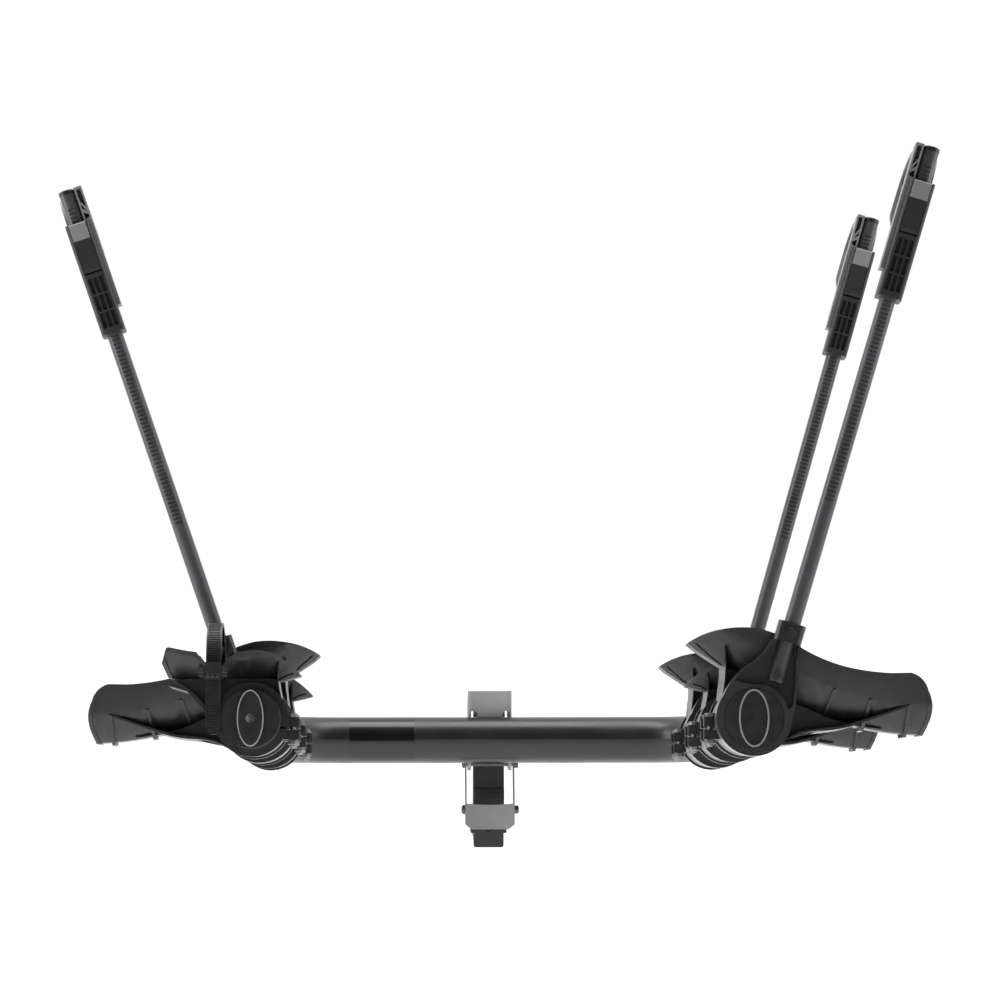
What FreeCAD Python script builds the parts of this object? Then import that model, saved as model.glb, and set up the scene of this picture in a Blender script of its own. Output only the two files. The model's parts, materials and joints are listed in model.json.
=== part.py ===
import FreeCAD, Part
import math
import os
from FreeCAD import Vector

# Three-bike platform rack for a 2-inch hitch receiver.
# World frame: X to the right, Y towards the vehicle, Z up, origin at the hitch pin.
# Rack frame: the two legs lie along Y, the cross tube's middle is the origin; "depth"
# is measured from the legs' open ends towards the cross tube.
# Tray sections are drawn with u outwards, w upwards and n across the wheel's plane.

# ---------------------------------------------------------------- driving sizes
# hitch
stinger_size = 50.8
stinger_wall = 5.0
stinger_length = 225.0
pin_to_front = 70.0
pin_radius = 8.15
plug_drop = 7.5
# rack frame
tube_radius = 38.1
tube_wall = 3.2
leg_spacing = 715.0
leg_length = 870.0
bend_radius = 110.0
leg_tilt = 5.0
cross_y = -265.0
cross_z = 153.0
# pivot and latch
pivot_ahead = 85.0
pivot_above = 19.0
pivot_pin_radius = 8.0
index_radius = 44.5
latch_angle = 250.0
latch_pin_radius = 5.0
latch_gap = 0.5
latch_eye_play = 1.6
latch_eye_reach = 10.5
fold_up = -85.0
tilt_down = 30.0
head_width = 52.0
head_plate = 6.0
neck_wall = 5.0
saddle_width = 73.0
saddle_plate = 5.5
saddle_height = 81.0
# pedal
pedal_width = 82.0
pedal_sheet = 2.5
pedal_low = 147.0
pedal_high = 104.0
# trays
bike_pitch = 300.0
channel_centre = 93.0
channel_wall = 3.6
sleeve_radius = 43.0
sleeve_front = 5.0
clamp_radius = 50.0
clamp_front = 33.0
clamp_back = 152.0
slit_place = -14.0
lug_bolt = 58.0
lip_width = 6.0
lip_proud = 1.5
rib_height = 5.0
rib_thickness = 5.0
strap_tray_half = [20.0, 34.0, 48.0, 54.0]
strap_tray_lift = [-channel_wall, 8.0, 30.0, 62.0]
strap_tray_arc = (30.0, 405.0, 350.0, -17.2, 17.0)
# wheel arms
arm_lean = {"outer": 16.9, "middle": 19.1, "inner": 16.1}
arm_offset = 15.5
arm_radius = 12.0
arm_length = 862.0
arm_depth = 14.5
bracket_front = 0.5
bracket_back = 28.3
bracket_radius = 54.0
socket_top = 146.0
tooth_pitch = 6.4
tooth_first = 330.0
tooth_last = 842.0
# hook on the arm
grip_bottom = 636.0
grip_top = 813.0
grip_front = -10.0
grip_back = 33.0
grip_half = 18.5
lever_pivot = 785.0
hook_top = 870.0
hook_reach = 132.0
hook_width = 38.0
hook_inner = 22.0
# strap and buckle
strap_place = 54.5
strap_width = 21.6
strap_sheet = 3.0
strap_top = 141.5
buckle_low = 57.0
buckle_high = 84.0
# fits
tube_fit = 0.15
running_fit = 0.08
slide_fit = 0.35
seat_gap = 0.3

# ---------------------------------------------------------------- helpers
X = Vector(1, 0, 0)
Y = Vector(0, 1, 0)
Z = Vector(0, 0, 1)
leg_x = leg_spacing / 2
tube_inner = tube_radius - tube_wall
pivot = Vector(0, cross_y + pivot_ahead, cross_z + pivot_above)
crossbar_y = cross_y + 2.0
crossbar_z = cross_z - 115.0


def save(shape, name):
    """Write one node, whatever number of separate solids it holds."""
    os.makedirs("parts", exist_ok=True)
    solids = shape.Solids
    result = solids[0] if len(solids) == 1 else Part.makeCompound(solids)
    result.exportStep("parts/" + name + ".step")


def box(x0, x1, y0, y1, z0, z1):
    return Part.makeBox(x1 - x0, y1 - y0, z1 - z0, Vector(x0, y0, z0))


def cylinder_y(radius, y0, y1, x=0.0, z=0.0):
    return Part.makeCylinder(radius, y1 - y0, Vector(x, y0, z), Y)


def cylinder_x(radius, x0, x1, y, z):
    return Part.makeCylinder(radius, x1 - x0, Vector(x0, y, z), X)


def cylinder_z(radius, z0, z1, x, y):
    return Part.makeCylinder(radius, z1 - z0, Vector(x, y, z0), Z)


def hexagon(across_flats, length, base, axis):
    """Hexagonal prism from base along axis, for bolt heads and nuts."""
    side = X if abs(axis.x) < 0.5 else Y
    other = axis.cross(side)
    reach = across_flats / math.sqrt(3)
    ring = []
    for step in range(7):
        turn = math.radians(60 * step)
        ring.append(base + side * (reach * math.cos(turn)) + other * (reach * math.sin(turn)))
    return Part.Face(Part.makePolygon(ring)).extrude(axis * length)


def button_head(radius, height, x, y, z):
    """Rounded bolt head that stands out towards -X from the plane at x."""
    head = cylinder_x(radius, x - height, x, y, z)
    rim = [edge for edge in head.Edges if edge.BoundBox.XMax < x - height + 1]
    return head.makeFillet(height * 0.8, rim)


def outline(steps, plane):
    """Closed face from lines and arcs; plane turns (a, b) into a point.

    A step is a pair of numbers for a straight run to that point, or a list of pairs for
    a row of arcs that starts at the last point and takes the listed points two by two;
    a single point left over is reached by a straight run.
    """
    last = steps[0]
    edges = []
    for step in steps[1:] + [steps[0]]:
        points = list(step) if isinstance(step, list) else [step]
        while points:
            if len(points) > 1 and bend(last, points[0], points[1]) > 1e-3:
                middle, end = points[:2]
                arc = Part.Arc(plane(*last), plane(*middle), plane(*end))
                edges.append(arc.toShape())
                points = points[2:]
                last = end
            else:
                end = points.pop(0)
                if math.dist(last, end) > 1e-6:
                    edges.append(Part.makeLine(plane(*last), plane(*end)))
                    last = end
    return Part.Face(Part.Wire(edges))


def bend(start, middle, end):
    """Twice the area of the triangle over the longest side: how far off straight."""
    across = (middle[0] - start[0]) * (end[1] - start[1])
    across -= (middle[1] - start[1]) * (end[0] - start[0])
    return abs(across) / max(math.dist(start, end), 1e-9)


def at_y(y):
    return lambda a, b: Vector(a, y, b)


def at_x(x):
    return lambda a, b: Vector(x, a, b)


def join(shapes):
    if len(shapes) == 1:
        return shapes[0]
    return shapes[0].multiFuse(shapes[1:]).removeSplitter()


def moved(shape, offset):
    copy = shape.copy()
    copy.translate(offset)
    return copy


def turned(shape, centre, axis, angle):
    copy = shape.copy()
    copy.rotate(centre, axis, angle)
    return copy


def in_world(shape):
    """Tilt a shape from the rack frame and set it on the cross tube's axis."""
    copy = turned(shape, Vector(), X, -leg_tilt)
    copy.translate(Vector(0, cross_y, cross_z))
    return copy


def on_leg(shape, side, bike):
    """Carry a shape drawn at the leg's open end to its leg and bike position."""
    placed = shape if side > 0 else shape.mirror(Vector(), X)
    shift = Vector(side * leg_x, bike * bike_pitch - leg_length, 0)
    return in_world(moved(placed, shift))


# ---------------------------------------------------------------- hitch
def stinger_tube():
    half = stinger_size / 2
    inner = half - stinger_wall
    front = pin_to_front
    back = front - stinger_length
    outer_bar = box(-half, half, back, front, -half, half)
    long_edges = [edge for edge in outer_bar.Edges if abs(edge.tangentAt(0).y) > 0.9]
    bar = outer_bar.makeFillet(4.0, long_edges)
    bore = box(-inner, inner, back - 1, front + 1, -inner, inner)
    pin_hole = cylinder_x(pin_radius, -half - 1, half + 1, 0, 0)
    return bar.cut(bore).cut(pin_hole)


def pivot_head():
    """Open C channel that rises from the stinger to the round index head."""
    half = head_width / 2
    py, pz = pivot.y, pivot.z
    back = pin_to_front - stinger_length
    foot_top = stinger_size / 2
    neck = outline([(py + 20, pz - 30), (py + 20, pz - 70), (back - 12, pz - 122),
                    (back - 12, foot_top + 0.2), (back + 62, foot_top + 0.2),
                    (back + 62, foot_top + 22), (py + 60, pz - 60), (py + 40, pz - 15)],
                   at_x(-half)).extrude(X * head_width)
    head = cylinder_x(index_radius, -half, half, py, pz)
    body = join([neck, head])
    inside = half - head_plate
    hollow = outline([(py - index_radius - 5, pz + index_radius + 5),
                      (py - index_radius - 5, pz - 50), (py + 20 + neck_wall, pz - 58),
                      (py + 20 + neck_wall, pz - 70), (back - 12 + neck_wall, pz - 122),
                      (back - 12 + neck_wall, foot_top + 8), (back + 40, foot_top + 8),
                      (back + 48, foot_top + 24), (py + 50, pz - 58),
                      (py + 24, pz + index_radius + 5)], at_x(-inside)).extrude(X * (2 * inside))
    spacer = cylinder_x(pivot_pin_radius + 7, -inside, inside, py, pz)
    body = join([body.cut(hollow), spacer])
    for frame_angle in (0.0, fold_up, tilt_down):
        turn = math.radians(latch_angle + frame_angle)
        reach = index_radius + latch_pin_radius - 3.2
        notch = cylinder_x(latch_pin_radius + 0.25, -half - 1, half + 1,
                           py + reach * math.cos(turn), pz + reach * math.sin(turn))
        body = body.cut(notch)
    cheek = 5.0
    for side in (-1, 1):
        x0 = side * stinger_size / 2 if side > 0 else -stinger_size / 2 - cheek
        plate = box(x0, x0 + cheek, back - 4, back + 62, -9, foot_top + 6)
        body = join([body, plate])
    pin_way = cylinder_x(pivot_pin_radius + running_fit, -half - 1, half + 1, py, pz)
    stinger_way = box(-stinger_size / 2, stinger_size / 2, back, back + 80,
                      -stinger_size, foot_top)
    return body.cut(pin_way).cut(stinger_way)


def head_bumper():
    """Ribbed step pad on the foot of the pivot head."""
    half = head_width / 2
    back = pin_to_front - stinger_length
    front = back - 12
    low = stinger_size / 2 + 24
    block = outline([(front - 9, low), (front - 9, low + 10), (front - 4, low + 16),
                     (front - seat_gap, low + 16), (front - seat_gap, low)],
                    at_x(-half)).extrude(X * head_width)
    for level in (2.5, 5.5, 8.5):
        block = block.cut(box(-half + 8, half - 8, front - 10, front - 8, low + level,
                              low + level + 1.2))
    return block


def stinger_plug():
    """Closing plug at the stinger's rear end with its round screw."""
    half = stinger_size / 2
    back = pin_to_front - stinger_length
    inner = half - stinger_wall - tube_fit
    face = box(-half, half, back - 8, back - seat_gap, -half - plug_drop, half)
    corners = [edge for edge in face.Edges if abs(edge.tangentAt(0).y) > 0.9]
    face = face.makeFillet(4.0, corners)
    stem = box(-inner, inner, back - 1, back + 25, -inner, inner)
    recess = cylinder_y(9.0, back - 9, back - 5, 0, 3)
    ring = cylinder_y(6.5, back - 9, back - 5, 0, 3).cut(cylinder_y(3.5, back - 10, back - 4, 0, 3))
    return join([face, stem]).cut(recess).fuse(ring).removeSplitter()


def pivot_bolt():
    """Main pivot bolt through saddle and head, with its lock nut and two washers."""
    outside = saddle_width / 2
    bolt = cylinder_x(pivot_pin_radius, -outside - 9, outside + 14, pivot.y, pivot.z)
    head = hexagon(24.0, 9.0, Vector(-outside - 11, pivot.y, pivot.z), X)
    nut = hexagon(24.0, 11.0, Vector(outside + 2.2, pivot.y, pivot.z), X)
    washer = cylinder_x(14.0, outside + 0.2, outside + 2.2, pivot.y, pivot.z)
    return join([bolt, head, nut, washer])


# ---------------------------------------------------------------- rack frame
def frame_tube():
    """One round tube bent to a U: cross tube and two legs."""
    start = Vector(-leg_x, sleeve_front - leg_length, 0)
    bend_a = Vector(-leg_x, -bend_radius, 0)
    bend_b = Vector(-leg_x + bend_radius, 0, 0)
    mid_shift = bend_radius * (1 - math.sqrt(0.5))
    mid_a = Vector(-leg_x + mid_shift, -mid_shift, 0)
    mirror_x = lambda point: Vector(-point.x, point.y, point.z)
    path = Part.Wire([
        Part.makeLine(start, bend_a),
        Part.Arc(bend_a, mid_a, bend_b).toShape(),
        Part.makeLine(bend_b, mirror_x(bend_b)),
        Part.Arc(mirror_x(bend_b), mirror_x(mid_a), mirror_x(bend_a)).toShape(),
        Part.makeLine(mirror_x(bend_a), mirror_x(start))])
    rings = []
    for radius in (tube_radius, tube_inner):
        ring = Part.Wire(Part.makeCircle(radius, start, Y))
        rings.append(path.makePipeShell([ring], True, False))
    return in_world(rings[0].cut(rings[1]))


def frame_saddle():
    """Bent plate saddle welded over the cross tube; it carries pivot, latch and pedal."""
    half = saddle_width / 2
    cy, cz = cross_y, cross_z
    side = outline([(cy + 8, cz + 20), (cy + 8, cz + saddle_height),
                    (cy + 20, cz + saddle_height), (cy + 58, cz + saddle_height - 14),
                    [(cy + 92, cz + 60), (cy + 112, cz + 40), (cy + 114, cz + 12),
                     (cy + 104, cz - 22)],
                    (cy + 90, cz - 50), (cy + 28, cz - 52),
                    [(cy + 20.5, cz - 49), (cy + 17, cz - 41)], (cy + 17, cz - 20)],
                   at_x(-half)).extrude(X * saddle_width)
    front_edges = [edge for edge in side.Edges
                   if abs(edge.tangentAt(0).z) > 0.9 and edge.Length > saddle_height / 2
                   and edge.BoundBox.YMax < cy + 9]
    inside = half - saddle_plate
    body = side.makeFillet(8.0, front_edges)
    body = body.cut(box(-inside, inside, cy + 8 + saddle_plate, cy + 140, cz - 60,
                        cz + saddle_height + 1))
    body = body.cut(box(-inside, inside, cy, cy + 60, cz - 60, cz + tube_radius - 10))
    for end in (-1, 1):
        body = body.cut(cylinder_y(6.5, cy, cy + 16, end * 27.0, cz + tube_radius + 3.5))
    body = body.cut(cylinder_x(tube_radius + 0.05, -half - 1, half + 1, cy, cz))
    body = body.cut(cylinder_x(pivot_pin_radius + running_fit, -half - 1, half + 1,
                               pivot.y, pivot.z))
    pedal_pin = pedal_pivot()
    body = body.cut(cylinder_x(4.0 + running_fit, -half - 1, half + 1, pedal_pin.y, pedal_pin.z))
    return body.cut(latch_slot(-half - 1, half + 1, latch_pin_radius + 0.3, -5.0, 9.0))


def latch_point(shift=0.0):
    turn = math.radians(latch_angle)
    reach = index_radius + latch_pin_radius + latch_gap + shift
    return Vector(0, pivot.y + reach * math.cos(turn), pivot.z + reach * math.sin(turn))


def latch_slot(x0, x1, radius, inwards, outwards):
    """Round-ended slot along the latch pin's travel."""
    low = latch_point(inwards)
    high = latch_point(outwards)
    along = (high - low).normalize()
    across = Vector(0, -along.z, along.y) * radius
    ring = [Vector(x0, p.y, p.z) for p in (low + across, high + across, high - across,
                                           low - across, low + across)]
    middle = Part.Face(Part.makePolygon(ring)).extrude(X * (x1 - x0))
    return join([middle, cylinder_x(radius, x0, x1, low.y, low.z),
                 cylinder_x(radius, x0, x1, high.y, high.z)])


def latch_pin():
    """Cross pin that drops into the index head's notches."""
    half = saddle_width / 2 + 4
    here = latch_point()
    return cylinder_x(latch_pin_radius, -half, half, here.y, here.z)


def pedal_pivot():
    return Vector(0, cross_y + 28.0, cross_z - 41.0)


def pedal_bolt():
    """Bolt under the cross tube that the pedal swings on, with head and nut."""
    here = pedal_pivot()
    outside = pedal_width / 2
    bolt = cylinder_x(4.0, -outside - 2, outside + 6, here.y, here.z)
    dome = button_head(7.0, 5.0, -outside - 0.4, here.y, here.z)
    nut = hexagon(13.0, 6.0, Vector(outside + 0.4, here.y, here.z), X)
    return join([bolt, dome, nut])


def foot_pedal():
    """Folded sheet pedal: front plate, two hangers and the driving eyes at the latch."""
    half = pedal_width / 2
    here = pedal_pivot()
    plate_y = cross_y - 10.0
    low = cross_z - pedal_low
    high = cross_z - pedal_high
    face = outline([(-half, low + 8), (-half + 10, low), (half - 10, low), (half, low + 8),
                    (half, high), [(0, high - 2.5), (-half, high)]], at_y(plate_y))
    sheet = face.extrude(Y * pedal_sheet)
    latch = latch_point()
    sides = []
    for x0 in (-half, half - pedal_sheet):
        hanger = outline([(plate_y, low + 8), (plate_y, high), (plate_y + 8, high + 12),
                          (here.y - 9, here.z - 4), (here.y - 9, here.z + 7),
                          (here.y, here.z + 10), (latch.y - 4, latch.z + 11),
                          (latch.y + 16, latch.z + 11), (latch.y + 16, latch.z - 10),
                          (here.y + 9, here.z - 6), (plate_y + 26, high + 4),
                          (plate_y + 22, low + 8)], at_x(x0)).extrude(X * pedal_sheet)
        sides.append(hanger)
    body = join([sheet] + sides)
    body = body.cut(cylinder_x(4.0 + running_fit, -half - 1, half + 1, here.y, here.z))
    body = body.cut(cylinder_x(4.0 + running_fit, -half - 1, half + 1, crossbar_y, crossbar_z))
    along = (latch - here).normalize()
    across = Vector(0, -along.z, along.y) * (latch_pin_radius + latch_eye_play)
    reach = along * latch_eye_reach
    ring = [Vector(-half - 1, p.y, p.z) for p in
            (latch - reach + across, latch + reach + across,
             latch + reach - across, latch - reach - across,
             latch - reach + across)]
    return body.cut(Part.Face(Part.makePolygon(ring)).extrude(X * (pedal_width + 2)))


def pedal_crossbar():
    """Spacer bolt low on the pedal, behind its plate."""
    half = pedal_width / 2
    y = crossbar_y
    z = crossbar_z
    bar = cylinder_x(4.0, -half - 4, half + 7, y, z)
    dome = button_head(8.0, 6.0, -half - 0.2, y, z)
    nut = hexagon(13.0, 6.0, Vector(half + 0.2, y, z), X)
    return join([bar, dome, nut])


def end_cap():
    """Round plug in the right leg's open end with a raised oval rim."""
    disc = cylinder_y(42.5, 0, sleeve_front - 0.1)
    stem = cylinder_y(tube_inner - tube_fit, sleeve_front - 1, sleeve_front + 24)
    hollow = cylinder_y(tube_inner - 3, sleeve_front + 2, sleeve_front + 25)
    rim = oval(21.5, 41.0, -1.2, 0.5).cut(oval(19.5, 39.0, -2.2, 1.0))
    groove = oval(19.5, 39.0, -0.1, 0.8)
    return join([disc.cut(groove), stem.cut(hollow), rim])


def oval(half_wide, half_high, y0, y1):
    """Upright oval prism about the leg's axis."""
    ring = Part.Ellipse(Vector(0, y0, half_high), Vector(half_wide, y0, 0), Vector(0, y0, 0))
    return Part.Face(Part.Wire(ring.toShape())).extrude(Y * (y1 - y0))


def lock_socket():
    """Plug in the left leg's open end that the cable lock's knob pushes into."""
    disc = cylinder_y(41.5, 0, sleeve_front - 0.1)
    stem = cylinder_y(tube_inner - tube_fit, sleeve_front - 1, sleeve_front + 60)
    way = cylinder_y(14.0 + running_fit * 4, -1, sleeve_front + 61)
    return join([disc, stem]).cut(way)


def lock_knob():
    """Oval pull knob of the cable lock, with the round stem that holds the lock."""
    body = oval(19.0, 40.0, -16.0, -seat_gap)
    rim = [edge for edge in body.Edges if edge.BoundBox.YMax < -15.0]
    body = body.makeFillet(2.5, rim)
    stem = cylinder_y(14.0, -1, 58)
    core_way = cylinder_y(6.5 + running_fit, -17, 30)
    return join([body, stem]).cut(core_way)


def lock_core():
    """Turning key core with its key slot."""
    core = cylinder_y(6.5, -16.6, 29.0)
    return core.cut(box(-0.7, 0.7, -17, -6, -4.2, 4.2))


# ---------------------------------------------------------------- trays
def channel_profile(half, lift, x, z, outset=0.0):
    """U section of a tray wall at x, floor height z, from floor outwards by outset.

    half and lift list the section's half widths and heights from floor to top.
    """
    right = [(half[i] + outset * (0.4 if i == 0 else 1.0), lift[i] - outset * (1.0 if i == 0 else 0.5))
             for i in range(len(half))]
    ring = [(channel_centre + n, z + h) for n, h in right]
    ring += [(channel_centre - n, z + h) for n, h in reversed(right)]
    points = [Vector(x, n, h) for n, h in ring]
    return Part.Face(Part.makePolygon(points + [points[0]]))


def swept_channel(half, lift, arcs, outset):
    """Solid of a filled channel section along a floor line made of tangent arcs.

    arcs lists (centre u, centre w, radius, first angle, last angle).
    """
    runs = []
    for u, w, radius, first, last in arcs:
        face = channel_profile(half, lift, u, w - radius, outset)
        face.rotate(Vector(u, 0, w), Y, first)
        runs.append(face.revolve(Vector(u, 0, w), Y, last - first))
    return join(runs)


def rib_band(half, lift, arc, angle, top):
    """Thin rib round the outside of the channel at one angle of an arc."""
    u, w, radius = arc[:3]
    low_half = half[:top]
    low_lift = lift[:top]
    face = channel_profile(low_half, low_lift, u, w - radius, rib_height)
    width = math.degrees(rib_thickness / radius)
    face.rotate(Vector(u, 0, w), Y, angle - width / 2)
    return face.revolve(Vector(u, 0, w), Y, width)


def curved_plate(points, thickness, reach):
    """Plate that follows a curve in the u-w plane and runs across the channel."""
    shifted = [(u + thickness * 0.5, w - thickness) for u, w in reversed(points)]
    face = outline([points[0], points[1:], shifted[0], shifted[1:]],
                   at_y(channel_centre - reach))
    return face.extrude(Y * (2 * reach))


def clamp_ring(slit_low):
    """Split clamp round the leg with two pairs of bolt lugs on the inner side."""
    ring = cylinder_y(clamp_radius, clamp_front, clamp_back)
    for y0 in (clamp_front, clamp_back - 9):
        ring = join([ring, cylinder_y(clamp_radius + 3, y0, y0 + 9)])
    lugs = [box(-lug_bolt - 9, -40, y - 9, y + 9, slit_low - 14, slit_low + 18)
            for y in (clamp_front + 30, clamp_back - 30)]
    return join([ring] + lugs)


def leg_way(front, slit_low):
    """Everything the leg and the clamp's slit take away."""
    bore = cylinder_y(tube_radius + tube_fit, front - 1, clamp_back + 1)
    slit = box(-lug_bolt - 12, -30, clamp_front - 1, clamp_back + 1, slit_low, slit_low + 4)
    cuts = [bore, slit]
    for y in (clamp_front + 30, clamp_back - 30):
        cuts.append(cylinder_z(4.2, slit_low - 20, slit_low + 24, -lug_bolt, y))
    return join(cuts)


def tray_body(half, lift, arcs, edge, web, plates, ribs, sleeve):
    """Moulded tray: channel, rim, ribs, webs and clamp as one solid."""
    inner_half = [half[0] - 1.0] + [value - channel_wall for value in half[1:]]
    inner_lift = [lift[0] + channel_wall] + [value + 1.4 for value in lift[1:-1]] + [lift[-1] + 5]
    outer = swept_channel(half, lift, arcs, 0.0)
    proud = swept_channel(half, lift, arcs, lip_proud)
    inner = swept_channel(inner_half, inner_lift, arcs, 0.0)
    wide = channel_centre + 90
    border = outline(edge, at_y(0))
    prism = moved(border, Y * (channel_centre - 90)).extrude(Y * wide)
    inset = border.makeOffset2D(-lip_width)
    inset_prism = moved(inset, Y * (channel_centre - 91)).extrude(Y * (wide + 2))
    shell = outer.common(prism)
    rim = proud.common(prism.cut(inset_prism))
    pieces = [shell, rim]
    pieces += [rib_band(half, lift, arcs[0], angle, 3) for angle in ribs]
    for centre in (-30.0, 26.0):
        face = outline(web, at_y(channel_centre + centre))
        pieces.append(face.extrude(Y * 4.0))
    for points, reach in plates:
        pieces.append(curved_plate(points, 3.2, reach))
    pieces.append(clamp_ring(slit_place))
    body = join(pieces)
    body = body.cut(inner)
    if sleeve > tube_radius:
        body = join([body, cylinder_y(sleeve, sleeve_front, clamp_front + 1)])
    return body.cut(leg_way(sleeve_front, slit_place))


def arm_tray():
    """Long tray on the wheel arm's side."""
    half = [22.0, 38.0, 56.0, 62.5]
    lift = [-channel_wall, 8.0, 38.0, 100.0]
    near_arc = (258.0, 422.0, 440.0, -1.5, 24.0)
    over_radius = 1000.0
    turn = math.radians(24.0)
    over_arc = (near_arc[0] - 440.0 * math.sin(turn) + over_radius * math.sin(turn),
                near_arc[1] - 440.0 * math.cos(turn) + over_radius * math.cos(turn),
                over_radius, 24.0, 36.0)
    edge = [(-89, 111),
            [(-65, 123), (-41, 129), (-16, 131.5), (9, 130), (33, 123), (72, 102), (113, 82),
             (143, 73), (172, 68), (201, 65.5), (229, 66)],
            [(243, 59), (254, 41), (260, 17), (257, -3), (247, -30)],
            (-20, -30), (-37, 44), [(-42, 69), (-57, 83), (-89, 111)]]
    web = [(-34, 30), (-37, 66), (-30, 74), (60, 26), (120, 0), (190, -14), (150, -9),
           (93, -18), (60, -25), (30, -40), (-20, -40)]
    plates = [([(222, 20), (164, 0), (125, -11), (93, -14), (69, -18), (38, -34)], 57.5),
              ([(-38, 104), (-37, 80), (-38, 60), (-42, 30)], 55.0)]
    return tray_body(half, lift, [near_arc, over_arc], edge, web, plates,
                     (4.5, 12.5, 20.0), sleeve_radius)


def strap_tray():
    """Short tray on the strap's side, with a gap in its walls for the strap."""
    edge = [(-71, 63),
            [(-58, 76), (-39, 90), (-20, 98), (0, 99.5), (22, 97)], (34, 89), (38, 72),
            (64, 72), (70, 84), (80, 97), [(100, 100), (119, 104), (128.5, 99), (132, 86)],
            (116, 48), (91, 40), (-30, 40), [(-42, 53), (-52, 58), (-71, 63)]]
    web = [(-34, 30), (-38, 56), (-30, 60), (90, 60), (112, 58), (91, 45), (65, 15),
           (44, -20), (-20, -30)]
    plates = [([(118, 52), (92, 44), (65, 14), (42, -20)], 46.0),
              ([(-38, 82), (-37, 66), (-38, 50), (-42, 30)], 46.0)]
    return tray_body(strap_tray_half, strap_tray_lift, [strap_tray_arc], edge, web, plates,
                     (), sleeve_radius - 1.0)


def clamp_bolts():
    """One bolt with its nut for each pair of clamp lugs on a tray."""
    sets = []
    for y in (clamp_front + 30, clamp_back - 30):
        shank = cylinder_z(4.0, slit_place - 24, slit_place + 18.2, -lug_bolt, y)
        head = hexagon(13.0, 5.5, Vector(-lug_bolt, y, slit_place + 18.2), Z)
        nut = hexagon(13.0, 6.5, Vector(-lug_bolt, y, slit_place - 20.7), Z)
        sets.append(join([shank, head, nut]))
    return Part.makeCompound(sets)


def snap_ring():
    """Retaining ring between the tray's sleeve and the arm bracket."""
    return cylinder_y(sleeve_radius + 1.6, 12.2, 13.8).cut(
        cylinder_y(sleeve_radius - 1.2, 12, 14))


# ---------------------------------------------------------------- wheel arm
# Arm pieces are drawn upright on the right leg: x outwards, y along the leg, z along
# the arm from the leg's axis, and leaned outwards afterwards.
def lean(shape, bike_name):
    return turned(shape, Vector(), Y, arm_lean[bike_name])


def arm_bracket():
    """Cast fork: a ring on the tray's sleeve and a socket for the arm tube."""
    depth = bracket_back - bracket_front
    left = arm_offset - 20
    right = arm_offset + 20
    cap = outline([(left, socket_top), (left, 128),
                   [(-10, 104), (-24, 78), (-40, 55), (-50.5, 19)], (0, 0), (53.9, 4),
                   [(52, 30), (45, 68), (37.5, 100), (right, 116)], (right, socket_top)],
                  at_y(bracket_front)).extrude(Y * depth)
    body = join([cap, cylinder_y(bracket_radius, bracket_front, bracket_back)])
    pocket = outline([(2, 118), [(-6, 102), (-20, 77), (-34, 58.5), (-41.5, 44)],
                      [(-24, 44.5), (0, 50.5), (24, 44.5), (44, 25)], (48, 34),
                      [(41.5, 66), (34.5, 96), (32, 118)]], at_y(bracket_front - 1))
    body = body.cut(pocket.extrude(Y * (arm_depth + 1)))
    socket = cylinder_z(arm_radius + tube_fit, 58, socket_top + 1, arm_offset, arm_depth)
    body = body.cut(socket)
    body = body.cut(cylinder_y(sleeve_radius + running_fit, bracket_front - 1, bracket_back + 1))
    groove = cylinder_y(sleeve_radius + 2.2, 11.2, 14.8)
    body = body.cut(groove)
    for reach in (68.6, 131.6):
        body = body.cut(cylinder_y(4.0 + tube_fit, bracket_front - 1, bracket_back - 1.5,
                                   arm_offset, reach))
    return body


def arm_tube():
    """Arm tube with ratchet slots on its outer face."""
    outer_tube = cylinder_z(arm_radius, 58.5, arm_length, arm_offset, arm_depth)
    bore = cylinder_z(arm_radius - 2.5, 50, arm_length + 1, arm_offset, arm_depth)
    count = int((tooth_last - tooth_first) / tooth_pitch)
    front = arm_depth - arm_radius
    slots = []
    for number in range(count):
        low = tooth_first + number * tooth_pitch
        slots.append(box(arm_offset - 6.5, arm_offset + 6.5, front - 1, front + 1.9,
                         low, low + 3.2))
    tube = outer_tube.cut(bore).cut(Part.makeCompound(slots))
    for reach in (68.6, 131.6):
        tube = tube.cut(cylinder_y(4.0 + tube_fit, -2, 40, arm_offset, reach))
    return tube


def arm_bolts():
    """Two socket-head bolts that hold the arm tube in its bracket."""
    sets = []
    for reach, seat, head_radius in ((131.6, bracket_front, 8.4),
                                     (68.6, arm_depth - arm_radius, 7.0)):
        head = cylinder_y(head_radius, seat - 3.5, seat - 0.05, arm_offset, reach)
        shank = cylinder_y(4.0, seat - 1, bracket_back - 2, arm_offset, reach)
        recess = hexagon(5.0, 3.0, Vector(arm_offset, seat - 4, reach), Y)
        sets.append(join([head, shank]).cut(recess))
    return Part.makeCompound(sets)


def arm_end_plug():
    """Plastic plug that closes the arm tube and stops the hook."""
    cap = cylinder_z(arm_radius + 0.3, arm_length + 0.1, arm_length + 7, arm_offset, arm_depth)
    rim = [edge for edge in cap.Edges if edge.BoundBox.ZMin > arm_length + 6]
    cap = cap.makeFillet(2.5, rim)
    stem = cylinder_z(arm_radius - 2.5 - tube_fit, arm_length - 18, arm_length + 1,
                      arm_offset, arm_depth)
    return join([cap, stem])


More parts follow.
